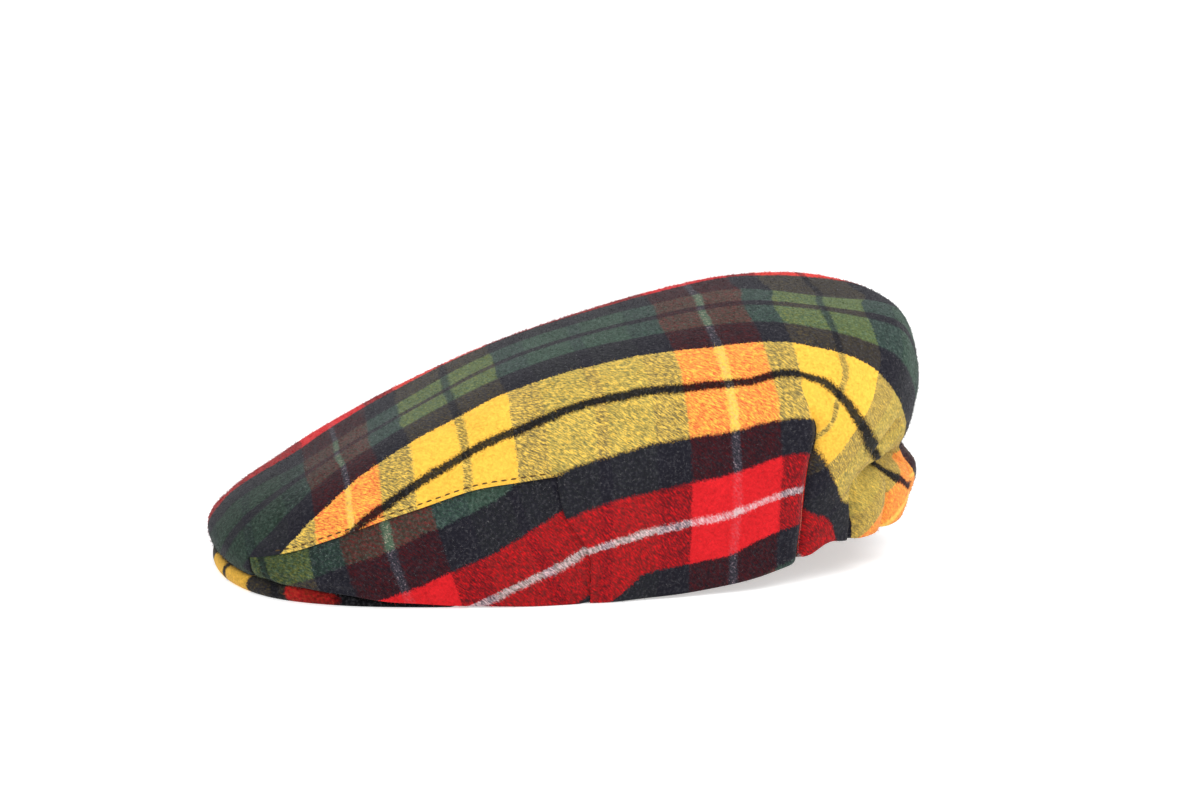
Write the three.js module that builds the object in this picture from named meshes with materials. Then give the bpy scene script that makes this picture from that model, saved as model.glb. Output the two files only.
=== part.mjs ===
// A flat cap of wool cloth, lying on its peak and rim. Millimetres, +Z up, the peak towards -Y,
// the wearer's left towards +X, the origin under the middle of the cap on the surface it lies on.
import * as THREE from 'three';

const { clamp, degToRad, smoothstep } = THREE.MathUtils;

// Rows of numbers as objects with named columns
function table(names, rows) {
  return rows.map((row) => Object.fromEntries(names.map((name, i) => [name, row[i]])));
}

// Cloth and the clearance between pieces that are sewn together
const CLOTH = 1.8;
const SEWN_GAP = 0.45;

// Places round the cap are shares of the way from the middle of the front, 0, to the middle of the back, 1
const LIP_END = 0.15;
const SIDE_SEAM = 0.515;
const DART = 0.7225;
const ELASTIC_END = 0.79;

// Places down a section are steps from the crest: shoulder 1, belly 2, waist 3, hem 4
const BELLY = 2;
const WAIST = 3;
const HEM = 4;

// The crest of the crown, from the front lip to the back
const CREST = table(['y', 'z'], [
  [-136, 10],
  [-132, 17.5],
  [-123, 27],
  [-112, 33.5],
  [-87, 46],
  [-64, 58],
  [-36, 72],
  [-13, 81],
  [22, 90.5],
  [56, 97.5],
  [72, 98.5],
  [92, 97],
  [115, 93.5],
  [128, 90],
  [136, 82],
]);

// Sections from the middle of the front to the middle of the back. Each starts on the crest at ridgeY and
// runs out to its belly at (outX, outY); shoulder, waist and hem are shares of that way out.
const SECTION_COLUMNS = [
  'outX', 'outY', 'bellyZ', 'ridgeY', 'shoulder', 'shoulderZ', 'waist', 'waistZ', 'hem', 'hemZ',
];
const SECTIONS = table(SECTION_COLUMNS, [
  [0, -136, 14, -100, 0.85, 23, 0.96, 9.4, 0.88, 6.45],
  [28, -132, 14.5, -99, 0.84, 23.5, 0.97, 9.5, 0.9, 6.45],
  [50.5, -119.8, 15, -93, 0.83, 26, 0.98, 9.6, 0.94, 6.5],
  [65, -99, 17, -80, 0.83, 34, 0.99, 9.6, 0.96, 5.2],
  [74, -70, 21.5, -58, 0.83, 46, 0.985, 10, 0.97, 1.9],
  [79, -35, 29, -30, 0.83, 58.5, 0.98, 11, 0.97, 0.4],
  [81, 2, 37, 2, 0.83, 69.5, 0.98, 15, 0.96, 0.3],
  [79.5, 42, 45, 34, 0.83, 78, 0.97, 20, 0.94, 2.5],
  [74, 80, 52, 62, 0.83, 83, 0.94, 27, 0.9, 9],
  [58, 111, 58, 83, 0.84, 86.5, 0.86, 39, 0.85, 14.5],
  [32, 130, 64, 95, 0.86, 88.5, 0.85, 40.5, 0.84, 13],
  [0, 136, 66, 100, 0.88, 89, 0.85, 40.5, 0.84, 15],
]);

// The soft crown leans a little to the wearer's right in front and to the left behind
const LEAN = table(['y', 'degrees'], [
  [-140, -2],
  [-60, -3],
  [0, -2.5],
  [40, 0],
  [100, 5],
  [140, 5],
]);

// The folded front edge of the crown, as the step down the section where it crosses each share
const FRONT_SEAM = table(['share', 'step'], [
  [0.15, 2],
  [0.212, 1.8],
  [0.263, 1.66],
  [0.321, 1.56],
  [0.375, 1.52],
  [0.421, 1.5],
  [0.458, 1.54],
  [0.515, 1.6],
]);

// The side seam slants backwards on its way down, from this step on
const SEAM_SLANT = 0.029;
const SEAM_REACH = 0.07;
const SEAM_SLANT_TOP = 1.6;

// The puffs of the gathered back, across it from the wearer's right, -1, to the left, 1
const GATHERS = table(['at', 'half', 'out'], [
  [-0.88, 0.13, 3.2],
  [-0.56, 0.2, 4],
  [-0.18, 0.2, 3.8],
  [0.2, 0.2, 3.9],
  [0.58, 0.2, 3.8],
  [0.885, 0.13, 3.6],
]);

// The elastic pinches the cloth at the waist: low puckers above it, the full puffs in the ruffle below
const PUCKER_TOP = 2.2;
const PUCKER_FULL = 2.65;
const PUCKER_SHARE = 0.4;
const RUFFLE_FULL = 3.35;
const BAND_PUFF = 3;
const BAND_END = 1.03;
const BAND_FADE = 0.06;

// The sewn dart: a groove with the cloth puffed out behind it
const DART_DEPTH = 3.2;
const DART_WIDTH = 0.007;
const DART_TOP = 1.3;
const DART_PUFF = 1.6;
const DART_PUFF_SHIFT = 0.032;
const DART_PUFF_WIDTH = 0.03;

// Side panels: their top edge runs on under the crown, and they come out to its form lower down
const PANEL_LAP = 0.12;
const PANEL_NUDGE = 0.0016;
const PANEL_OUT_SHARE = 0.5;

// The peak: its outer edge follows the lip, its inner edge an ellipse round the forehead
const PEAK_THICKNESS = 6;
const PEAK_TIP_THICKNESS = 1;
const PEAK_TIP = 0.4;
const PEAK_TAPER_FROM = 0.2;
const PEAK_EDGE = 0.955;
const PEAK_ROUND = 2.2;
const PEAK_EDGE_LOW = 0.3;
const PEAK_EDGE_HIGH = 0.7;
const FOREHEAD = { y: -30, halfWidth: 69, depth: 56, lastAngle: 74 };

// How finely the cloth is meshed: columns between shares, and rows above and below the front seam
const COLUMNS = table(['from', 'to', 'count'], [
  [0, LIP_END, 6],
  [LIP_END, SIDE_SEAM, 15],
  [SIDE_SEAM, 0.7, 7],
  [0.7, 0.745, 6],
  [0.745, ELASTIC_END, 3],
  [ELASTIC_END, 1, 21],
]);
const UPPER_ROWS = 9;
const LOWER_ROWS = 9;
const PEAK_STEPS = 14;

function hermite(start, end, startSlope, endSlope, t) {
  const s = 1 - t;
  const ends = (1 + 2 * t) * s * s * start + t * t * (3 - 2 * t) * end;
  return ends + t * s * s * startSlope - t * t * s * endSlope;
}

// A smooth curve through a table's rows: the column `out` where the column `at` has the value x
function along(rows, at, out, x) {
  const last = rows.length - 1;
  const slope = (i) => {
    const before = rows[Math.max(i - 1, 0)];
    const after = rows[Math.min(i + 1, last)];
    return (after[out] - before[out]) / (after[at] - before[at]);
  };
  const next = rows.findIndex((row) => row[at] > x);
  const i = clamp(next < 0 ? last - 1 : next - 1, 0, last - 1);
  const span = rows[i + 1][at] - rows[i][at];
  const t = clamp((x - rows[i][at]) / span, 0, 1);
  return hermite(rows[i][out], rows[i + 1][out], slope(i) * span, slope(i + 1) * span, t);
}

// The section at a share of the way round, smooth across the middle of the front and of the back
function sectionAt(share) {
  const last = SECTIONS.length - 1;
  const i = Math.min(Math.floor(share * last), last - 1);
  const row = (j) => {
    const inside = j < 0 ? -j : last - Math.abs(last - j);
    return j === inside ? SECTIONS[j] : { ...SECTIONS[inside], outX: -SECTIONS[inside].outX };
  };
  const [before, start, end, after] = [row(i - 1), row(i), row(i + 1), row(i + 2)];
  const between = (name) => hermite(
    start[name],
    end[name],
    (end[name] - before[name]) / 2,
    (after[name] - start[name]) / 2,
    share * last - i,
  );
  return Object.fromEntries(SECTION_COLUMNS.map((name) => [name, between(name)]));
}

function planPoint(section, outShare, z) {
  const y = section.ridgeY + (section.outY - section.ridgeY) * outShare;
  return new THREE.Vector3(section.outX * outShare, y, z);
}

// The form of the cap before darts and gathers, on the wearer's left: a smooth curve from the crest through
// shoulder, belly and waist to the hem, which leaves the crest along its slope
function formPoint(share, step) {
  const nearSeam = Math.max(0, 1 - Math.abs(share - SIDE_SEAM) / SEAM_REACH);
  const slant = (smoothstep(step, SEAM_SLANT_TOP, WAIST) - 0.5) * nearSeam;
  const section = sectionAt(clamp(share + SEAM_SLANT * slant, 0, 1));
  const crestAt = (y) => along(CREST, 'y', 'z', y);
  const points = [
    planPoint(section, 0, crestAt(section.ridgeY)),
    planPoint(section, section.shoulder, section.shoulderZ),
    planPoint(section, 1, section.bellyZ),
    planPoint(section, section.waist, section.waistZ),
    planPoint(section, section.hem, section.hemZ),
  ];
  const chords = points.slice(1).map((point, i) => point.clone().sub(points[i]));
  const crestSlope = (crestAt(section.ridgeY + 1) - crestAt(section.ridgeY - 1)) / 2;
  const direction = (i) => {
    if (i === 0) {
      const level = chords[0].clone().setZ(chords[0].y * crestSlope);
      return level.divideScalar(chords[0].length());
    }
    if (i === chords.length) return chords[i - 1].clone().normalize();
    const [before, after] = [chords[i - 1].length(), chords[i].length()];
    const sum = chords[i - 1].clone().multiplyScalar(after / before);
    return sum.addScaledVector(chords[i], before / after).divideScalar(before + after);
  };
  const i = clamp(Math.floor(step), 0, chords.length - 1);
  const length = chords[i].length();
  const [leave, arrive] = [direction(i), direction(i + 1)];
  const axis = (name) => hermite(
    points[i][name],
    points[i + 1][name],
    leave[name] * length,
    arrive[name] * length,
    step - i,
  );
  return new THREE.Vector3(axis('x'), axis('y'), axis('z'));
}

function formNormal(share, step) {
  const reach = 0.002;
  const round = formPoint(Math.min(share + reach, 1), step);
  round.sub(formPoint(Math.max(share - reach, 0), step));
  const down = formPoint(share, Math.min(step + reach, HEM));
  down.sub(formPoint(share, Math.max(step - reach, 0)));
  return down.cross(round).normalize();
}

function gatherOut(share, step, side) {
  const across = (side * (1 - share)) / (1 - ELASTIC_END);
  const puffs = GATHERS.map(({ at, half, out }) => out * (1 - ((across - at) / half) ** 2));
  const inside = smoothstep(BAND_END - Math.abs(across), 0, BAND_FADE);
  const band = BAND_PUFF * Math.sin(Math.PI * clamp(step - WAIST, 0, 1)) * inside;
  const above = smoothstep(step, PUCKER_TOP, PUCKER_FULL) - smoothstep(step, PUCKER_FULL, WAIST);
  const below = smoothstep(step, WAIST, RUFFLE_FULL);
  return Math.max(0, ...puffs) * (PUCKER_SHARE * above + below) + band;
}

function dartOut(share, step) {
  const groove = DART_DEPTH * Math.exp(-(((share - DART) / DART_WIDTH) ** 2));
  const puff = DART_PUFF * Math.exp(-(((share - DART - DART_PUFF_SHIFT) / DART_PUFF_WIDTH) ** 2));
  return (puff - groove) * smoothstep(step, DART_TOP, BELLY);
}

// A point of the cloth's outer face, on the wearer's left (side 1) or right (side -1), moved out by `out`
function clothPoint(share, step, side, out = 0) {
  const relief = out + gatherOut(share, step, side) + dartOut(share, step);
  const point = formPoint(share, step);
  if (relief !== 0) point.addScaledVector(formNormal(share, step), relief);
  point.x *= side;
  const lean = Math.tan(degToRad(along(LEAN, 'y', 'degrees', point.y)));
  point.z -= point.x * lean * smoothstep(BELLY - step, 0, 1);
  return point;
}

// A sheet of cells between columns and rows: nameAt gives corners that cells share, and keep the cells in use
function gridSheet(columns, rows, nameAt, pointAt, keep) {
  const points = [];
  const numbers = new Map();
  const corner = (column, row) => {
    const name = nameAt(column, row);
    if (!numbers.has(name)) {
      numbers.set(name, points.length);
      points.push(pointAt(column, row));
    }
    return numbers.get(name);
  };
  const faces = [];
  for (let column = 0; column < columns; column += 1) {
    for (let row = 0; row < rows; row += 1) {
      if (!keep(column, row)) continue;
      const [a, b] = [corner(column, row), corner(column, row + 1)];
      const [c, d] = [corner(column + 1, row + 1), corner(column + 1, row)];
      faces.push([a, b, c], [a, c, d]);
    }
  }
  return { points, faces };
}

function solidGeometry(points, faces) {
  const geometry = new THREE.BufferGeometry().setFromPoints(points);
  geometry.setIndex(faces.flat());
  geometry.computeVertexNormals();
  return geometry;
}

// A sheet made into a wall: an inner face inside the outer one, and a strip along every free edge
function wallGeometry({ points, faces }, thickness) {
  const normals = solidGeometry(points, faces).getAttribute('normal');
  const inward = (i) => new THREE.Vector3().fromBufferAttribute(normals, i).multiplyScalar(-thickness);
  const inner = points.map((point, i) => point.clone().add(inward(i)));
  const behind = points.length;
  const edges = new Map();
  faces.forEach(([a, b, c]) => {
    [[a, b], [b, c], [c, a]].forEach(([p, q]) => edges.set(`${p} ${q}`, [p, q]));
  });
  const free = [...edges.values()].filter(([p, q]) => !edges.has(`${q} ${p}`));
  const walls = [
    ...faces,
    ...faces.map(([a, b, c]) => [c + behind, b + behind, a + behind]),
    ...free.flatMap(([p, q]) => [[q, p, p + behind], [q, p + behind, q + behind]]),
  ];
  return solidGeometry([...points, ...inner], walls);
}

const SHARES = COLUMNS.flatMap(({ from, to, count }) => (
  Array.from({ length: count }, (_, i) => from + ((to - from) * i) / count)
)).concat(1);

// The crown: columns run right round the cap, rows from the crest down. Where a side panel takes over,
// between the lip's end and the side seam, it stops at the front seam; elsewhere it goes down to the hem.
function crownGeometry() {
  const half = SHARES.length - 1;
  const columnCount = 2 * half;
  const indexOf = (column) => half - Math.abs(half - (column % columnCount));
  const stepAt = (share, row) => {
    const seam = along(FRONT_SEAM, 'share', 'step', share);
    if (row <= UPPER_ROWS) return (seam * row) / UPPER_ROWS;
    return seam + ((HEM - seam) * (row - UPPER_ROWS)) / LOWER_ROWS;
  };
  const nameAt = (column, row) => (
    row === 0 ? `crest ${indexOf(column)}` : `${column % columnCount} ${row}`
  );
  const pointAt = (column, row) => {
    const share = SHARES[indexOf(column)];
    const side = column % columnCount <= half ? 1 : -1;
    return clothPoint(share, stepAt(share, row), side);
  };
  const keep = (column, row) => {
    const middle = (SHARES[indexOf(column)] + SHARES[indexOf(column + 1)]) / 2;
    return row < UPPER_ROWS || middle < LIP_END || middle > SIDE_SEAM;
  };
  const sheet = gridSheet(columnCount, UPPER_ROWS + LOWER_ROWS, nameAt, pointAt, keep);
  return wallGeometry(sheet, CLOTH);
}

// A side panel: tucked under the crown's folded edge at the top, in line with the crown lower down
function sidePanelGeometry(side) {
  const inside = SHARES.filter((share) => share > LIP_END && share < SIDE_SEAM);
  const shares = [LIP_END + PANEL_NUDGE, ...inside, SIDE_SEAM - PANEL_NUDGE];
  if (side < 0) shares.reverse();
  const pointAt = (column, row) => {
    const share = shares[column];
    const seam = along(FRONT_SEAM, 'share', 'step', share);
    const step = row === 0 ? seam - PANEL_LAP : seam + ((HEM - seam) * (row - 1)) / LOWER_ROWS;
    const below = smoothstep((step - seam) / (HEM - seam), 0, PANEL_OUT_SHARE);
    return clothPoint(share, step, side, -(CLOTH + SEWN_GAP) * (1 - below));
  };
  const nameAt = (column, row) => `${column} ${row}`;
  const sheet = gridSheet(shares.length - 1, LOWER_ROWS + 1, nameAt, pointAt, () => true);
  return wallGeometry(sheet, CLOTH);
}

// The peak: a crescent plate with a flat underside and a rounded outer edge, thinner towards its two tips
function peakGeometry() {
  const ring = (k) => {
    const side = Math.sign(k);
    const share = (Math.abs(k) / PEAK_STEPS) * PEAK_TIP;
    const outer = planPoint(sectionAt(share), PEAK_EDGE, 0);
    outer.x *= side;
    const angle = degToRad((FOREHEAD.lastAngle * k) / PEAK_STEPS);
    const inner = new THREE.Vector3(
      FOREHEAD.halfWidth * Math.sin(angle),
      FOREHEAD.y - FOREHEAD.depth * Math.cos(angle),
      0,
    );
    const thin = smoothstep(share, PEAK_TAPER_FROM, PEAK_TIP);
    const height = PEAK_THICKNESS + (PEAK_TIP_THICKNESS - PEAK_THICKNESS) * thin;
    const rounding = PEAK_ROUND / outer.distanceTo(inner);
    const at = (across, up) => inner.clone().lerp(outer, across).setZ(height * up);
    return [
      at(0, 0),
      at(0.5, 0),
      at(1 - rounding, 0),
      at(1, PEAK_EDGE_LOW),
      at(1, PEAK_EDGE_HIGH),
      at(1 - rounding, 1),
      at(0.5, 1),
      at(0, 1),
    ];
  };
  const rings = Array.from({ length: 2 * PEAK_STEPS + 1 }, (_, i) => ring(i - PEAK_STEPS));
  const size = rings[0].length;
  const faces = [];
  for (let k = 0; k < rings.length - 1; k += 1) {
    for (let i = 0; i < size; i += 1) {
      const next = (i + 1) % size;
      const [a, b] = [k * size + i, (k + 1) * size + i];
      const [c, d] = [(k + 1) * size + next, k * size + next];
      faces.push([a, b, c], [a, c, d]);
    }
  }
  const end = (rings.length - 1) * size;
  for (let i = 1; i < size - 1; i += 1) faces.push([0, i, i + 1], [end, end + i + 1, end + i]);
  return solidGeometry(rings.flat(), faces);
}

function woolPiece(name, geometry, color) {
  const material = new THREE.MeshStandardMaterial({ color, roughness: 0.95, metalness: 0 });
  const mesh = new THREE.Mesh(geometry, material);
  mesh.name = name;
  return mesh;
}

const cap = new THREE.Group();
cap.add(woolPiece('crown', crownGeometry(), 0xa98f35));
cap.add(woolPiece('side_panel_left', sidePanelGeometry(1), 0xa52428));
cap.add(woolPiece('side_panel_right', sidePanelGeometry(-1), 0xa52428));
cap.add(woolPiece('peak', peakGeometry(), 0xe0b23c));

export default cap;
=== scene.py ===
# %% [markdown]
# # A flat cap in wool tartan
#
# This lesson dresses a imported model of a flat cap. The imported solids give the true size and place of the
# crown, the two side panels and the peak. Here each of them becomes a sheet of brushed wool: a grid of points
# that numpy works out from the cap's sections, with darts, gathers and sewn edges, and with a map of cloth
# coordinates so that the tartan runs over the cap as it does on the cutter's table.

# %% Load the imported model
from functools import partialmethod

import bpy
import numpy as np
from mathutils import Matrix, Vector


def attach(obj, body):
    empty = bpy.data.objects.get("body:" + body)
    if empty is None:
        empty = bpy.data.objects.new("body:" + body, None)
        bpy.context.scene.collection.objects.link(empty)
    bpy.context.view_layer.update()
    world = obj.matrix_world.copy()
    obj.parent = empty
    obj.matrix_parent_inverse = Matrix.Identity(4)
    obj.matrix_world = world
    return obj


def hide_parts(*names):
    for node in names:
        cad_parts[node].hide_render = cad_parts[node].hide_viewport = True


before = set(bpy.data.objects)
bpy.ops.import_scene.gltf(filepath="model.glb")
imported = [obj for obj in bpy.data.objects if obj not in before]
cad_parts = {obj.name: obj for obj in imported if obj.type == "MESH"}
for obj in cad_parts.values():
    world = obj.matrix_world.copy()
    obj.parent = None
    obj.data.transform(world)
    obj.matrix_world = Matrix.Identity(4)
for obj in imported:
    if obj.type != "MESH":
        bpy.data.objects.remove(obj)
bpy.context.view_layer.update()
print("nodes:", sorted(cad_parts))

# %% [markdown]
# ## The form of the cap
#
# A cap could be sculpted by hand, but its form is easier to keep true as a table: the crest line along the
# middle of the top, and a dozen sections from the middle of the front, round the wearer's left, to the middle
# of the back. Each section starts on the crest and runs out over the shoulder to the belly, then in to the
# waist and down to the hem. Sizes are in millimetres, and MM turns them into Blender's metres at the end.

# %% Tables of the form
MM = 0.001
# shares of the way round, from the middle of the front, 0, to the middle of the back, 1
LIP_END, SIDE_SEAM, DART, ELASTIC_END = 0.15, 0.515, 0.7225, 0.79
# steps down a section, which has its crest at 0 and its shoulder at 1
BELLY, WAIST, HEM = 2, 3, 4
# thickness of the cloth
CLOTH = 1.8

# y and z of the crest, from the front lip to the back
CREST = np.array([
    (-136, 10), (-132, 17.5), (-123, 27), (-112, 33.5), (-87, 46), (-64, 58), (-36, 72), (-13, 81),
    (22, 90.5), (56, 97.5), (72, 98.5), (92, 97), (115, 93.5), (128, 90), (136, 82),
])
# shoulder, waist and hem say how far out they lie, as parts of the way from the crest, 0, to the belly, 1
SECTION_COLUMNS = "out_x out_y belly_z ridge_y shoulder shoulder_z waist waist_z hem hem_z".split()
SECTIONS = np.array([
    (0, -136, 14, -100, 0.85, 23, 0.96, 9.4, 0.88, 6.45),
    (28, -132, 14.5, -99, 0.84, 23.5, 0.97, 9.5, 0.9, 6.45),
    (50.5, -119.8, 15, -93, 0.83, 26, 0.98, 9.6, 0.94, 6.5),
    (65, -99, 17, -80, 0.83, 34, 0.99, 9.6, 0.96, 5.2),
    (74, -70, 21.5, -58, 0.83, 46, 0.985, 10, 0.97, 1.9),
    (79, -35, 29, -30, 0.83, 58.5, 0.98, 11, 0.97, 0.4),
    (81, 2, 37, 2, 0.83, 69.5, 0.98, 15, 0.96, 0.3),
    (79.5, 42, 45, 34, 0.83, 78, 0.97, 20, 0.94, 2.5),
    (74, 80, 52, 62, 0.83, 83, 0.94, 27, 0.9, 9),
    (58, 111, 58, 83, 0.84, 86.5, 0.86, 39, 0.85, 14.5),
    (32, 130, 64, 95, 0.86, 88.5, 0.85, 40.5, 0.84, 13),
    (0, 136, 66, 100, 0.88, 89, 0.85, 40.5, 0.84, 15),
])
# y, and the degrees by which the soft top leans to one side there
LEAN = np.array([(-140, -2), (-60, -3), (0, -2.5), (40, 0), (100, 5), (140, 5)])
# share of the way round, and the step down the section where the crown's folded front edge crosses it
FRONT_SEAM = np.array([
    (0.15, 2), (0.212, 1.8), (0.263, 1.66), (0.321, 1.56),
    (0.375, 1.52), (0.421, 1.5), (0.458, 1.54), (0.515, 1.6),
])
SEAM_SLANT, SEAM_REACH, SEAM_SLANT_FROM = 0.029, 0.07, 1.6


# %% Curves through tables
def hermite(start, end, start_slope, end_slope, t):
    """The cubic from start to end as t goes from 0 to 1, leaving and arriving with the given slopes."""
    s = 1 - t
    ends = (1 + 2 * t) * s * s * start + t * t * (3 - 2 * t) * end
    return ends + t * s * s * start_slope - t * t * s * end_slope


def smooth(x, low, high):
    """0 below low, 1 above high, and the S-curve 3t^2 - 2t^3 between."""
    t = np.clip((x - low) / (high - low), 0, 1)
    return t * t * (3 - 2 * t)


def between(start, end, t):
    """start where t is 0, end where it is 1, and evenly between."""
    return start + (end - start) * t


def along(rows, x):
    """A smooth curve through the rows (x, value): cubics whose slopes are those between the neighbours."""
    xs, values = rows.T
    numbers = np.arange(len(xs))
    before = np.maximum(numbers - 1, 0)
    after = np.minimum(numbers + 1, len(xs) - 1)
    slopes = (values[after] - values[before]) / (xs[after] - xs[before])
    i = np.clip(np.searchsorted(xs, x, side="right") - 1, 0, len(xs) - 2)
    span = xs[i + 1] - xs[i]
    t = np.clip((x - xs[i]) / span, 0, 1)
    return hermite(values[i], values[i + 1], slopes[i] * span, slopes[i + 1] * span, t)


def crest_slope(y):
    """Rise of the crest for each millimetre towards the back, measured over two millimetres."""
    return (along(CREST, y + 1) - along(CREST, y - 1)) / 2


def section(share):
    """The section's columns at a share of the way round: cubics through the rows, mirrored past both ends."""
    last = len(SECTIONS) - 1
    mirror = np.where(np.array(SECTION_COLUMNS) == "out_x", -1.0, 1.0)
    longer = np.vstack([SECTIONS[1] * mirror, SECTIONS, SECTIONS[-2] * mirror])
    slopes = (longer[2:] - longer[:-2]) / 2
    place = np.clip(share, 0, 1) * last
    i = np.minimum(place.astype(int), last - 1)
    t = (place - i)[..., None]
    values = hermite(SECTIONS[i], SECTIONS[i + 1], slopes[i], slopes[i + 1], t)
    return dict(zip(SECTION_COLUMNS, np.moveaxis(values, -1, 0)))


# %% Points of the form
def form(share, step):
    """A point on the wearer's left: a curve through crest, shoulder, belly, waist and hem.

    Its slope at each of them is the mean of the two chords there, weighted by the other chord's length. It
    leaves the crest along the crest's own slope.
    """
    share, step = np.broadcast_arrays(np.asarray(share, float), np.asarray(step, float))
    near_seam = np.maximum(0, 1 - abs(share - SIDE_SEAM) / SEAM_REACH)
    slant = (smooth(step, SEAM_SLANT_FROM, WAIST) - 0.5) * near_seam
    s = section(share + SEAM_SLANT * slant)

    def plan(out, z):
        """The point at height z that lies a part of the way out from the crest to the belly."""
        return np.stack([s["out_x"] * out, between(s["ridge_y"], s["out_y"], out), z], -1)

    guides = np.stack([
        plan(0, along(CREST, s["ridge_y"])),
        plan(s["shoulder"], s["shoulder_z"]),
        plan(1, s["belly_z"]),
        plan(s["waist"], s["waist_z"]),
        plan(s["hem"], s["hem_z"]),
    ])
    chords = np.diff(guides, axis=0)
    spans = np.linalg.norm(chords, axis=-1, keepdims=True)
    before, after = spans[:-1], spans[1:]
    inner = (chords[:-1] * after / before + chords[1:] * before / after) / (before + after)
    level = chords[0].copy()
    level[..., 2] = chords[0][..., 1] * crest_slope(s["ridge_y"])
    ways = np.concatenate([[level / spans[0]], inner, [chords[-1] / spans[-1]]])
    i = np.clip(np.floor(step), 0, HEM - 1).astype(int)

    def pick(values, number):
        """Of each place's values, the one with its number."""
        return np.take_along_axis(values, number[None, ..., None], 0)[0]

    span = pick(spans, i)
    t = (step - i)[..., None]
    return hermite(pick(guides, i), pick(guides, i + 1), pick(ways, i) * span, pick(ways, i + 1) * span, t)


def unit(ways):
    """The same directions with length 1."""
    return ways / np.linalg.norm(ways, axis=-1, keepdims=True)


def form_normal(share, step, reach=0.002):
    """The outward direction: the way down the section crossed with the way round the cap."""
    round_cap = form(np.minimum(share + reach, 1), step) - form(np.maximum(share - reach, 0), step)
    down = form(share, np.minimum(step + reach, HEM)) - form(share, np.maximum(step - reach, 0))
    return unit(np.cross(down, round_cap))


print("top of the crown at %.1f mm" % CREST[:, 1].max())

# %% [markdown]
# ## Darts and gathers
#
# A flat piece of cloth can't cover a dome. On each side a dart takes up the spare cloth behind the ear, and
# at the back an elastic in the hem gathers it into puffs. Cloth simulation could find such puffs, but they
# would fall where they like. Here they are low hills moved out along the surface's own direction, so that
# each lies where it does on the real cap.

# %% Gathers and darts
# across the back from the wearer's right, -1, to the left, 1: middle, half width and height of each puff
GATHERS = np.array([
    (-0.88, 0.13, 3.2), (-0.56, 0.2, 4), (-0.18, 0.2, 3.8),
    (0.2, 0.2, 3.9), (0.58, 0.2, 3.8), (0.885, 0.13, 3.6),
])
PUCKER_TOP, PUCKER_FULL, PUCKER_SHARE, RUFFLE_FULL = 2.2, 2.65, 0.4, 3.35
BAND_PUFF, BAND_END, BAND_FADE = 3, 1.012, 0.025
BAND_CREASE, BAND_CREASE_WIDTH, BAND_CREASE_FROM = 1.7, 0.02, (2.75, 3.2)
DART_TOP = (1.25, 1.8)
DART_GROOVES = [(2.2, 0.007), (1.4, 0.002)]
DART_PUFF, DART_PUFF_SHIFT, DART_PUFF_WIDTH = 1.6, 0.032, 0.03
DART_SWING, DART_SWING_STEP, DART_SWING_HEIGHT, DART_SWING_REACH = 0.0095, 1.7, 0.3, 0.03
HEM_LIFT, HEM_LIFT_AT, HEM_LIFT_WIDTH, HEM_LIFT_FROM = 4, 0.752, 0.022, 2.8
BACK_LIFT, BACK_LIFT_SHARES, BACK_LIFT_FROM = 4.5, (0.845, 0.9), 3.2
# share of the way round and steps down from one soft dent to the next, and their depth
DENTS = np.array([(0.11, 1.3, 0.3), (0.067, 2.1, 0.22), (0.19, 0.9, 0.25)])
DENT_STEPS, DENT_FRONT, DENT_BACK = (0.5, 1.2), (0.1, 0.2), (0.88, 0.97)
# turns by which the dents are shifted, one way on the left and the other way on the right
DENT_ROUND_SHIFT, DENT_DOWN_SHIFT = 0.2, 0.3
# share and step where a fold starts and where it ends, its height, below 0 for a valley, and its half width
FOLDS = [
    (0.842, 2.22, 0.812, 2.62, -2.6, 2.2), (0.862, 2.4, 0.826, 2.9, 1.2, 2.6),
    (0.802, 3.06, 0.826, 3.0, -2.6, 1.9), (0.826, 3.0, 0.9, 3.1, -3.2, 2.1),
    (0.836, 3.48, 0.838, 3.8, -1.6, 1.4), (0.8, 3.22, 0.807, 3.34, -1.2, 1.4),
    (0.797, 3.15, 0.794, 3.6, -1.5, 1.8),
]
# millimetres of a whole share round the back and of one step down
FOLD_ROUND, FOLD_DOWN = 340, 22.4
print(len(GATHERS), "gathers across the back and", len(FOLDS), "folds on each side")


def bell(x, width):
    """1 at 0, falling off on both sides like exp(-x^2) over the width."""
    return np.exp(-((x / width) ** 2))


def gather_out(share, step, side):
    """Height of the gathers: the highest of the puffs, each an arch 1 - x^2, and a swollen band at the hem.

    The elastic at the waist holds the puffs down; above it only low puckers are left of them.
    """
    across = side * (1 - share) / (1 - ELASTIC_END)
    middle, half, height = GATHERS.T
    puffs = height * (1 - ((across[..., None] - middle) / half) ** 2)
    inside = smooth(BAND_END - abs(across), 0, BAND_FADE)
    band = BAND_PUFF * np.sin(np.pi * np.clip(step - WAIST, 0, 1)) * inside
    crease = BAND_CREASE * bell(abs(across) - BAND_END, BAND_CREASE_WIDTH) * smooth(step, *BAND_CREASE_FROM)
    above = smooth(step, PUCKER_TOP, PUCKER_FULL) - smooth(step, PUCKER_FULL, WAIST)
    below = smooth(step, WAIST, RUFFLE_FULL)
    return np.maximum(0, puffs.max(-1)) * (PUCKER_SHARE * above + below) + band - crease


def dart_out(share, step):
    """A bell-shaped groove with a sharp crease in it, and a low hill behind, from the dart's top down."""
    groove = sum(depth * bell(share - DART, width) for depth, width in DART_GROOVES)
    puff = DART_PUFF * bell(share - DART - DART_PUFF_SHIFT, DART_PUFF_WIDTH)
    return (puff - groove) * smooth(step, *DART_TOP)


def dart_swing(share, step):
    """How far the dart's line swings to the back at a step: a bell round its upper end."""
    return DART_SWING * bell(step - DART_SWING_STEP, DART_SWING_HEIGHT) * bell(share - DART, DART_SWING_REACH)


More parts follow.
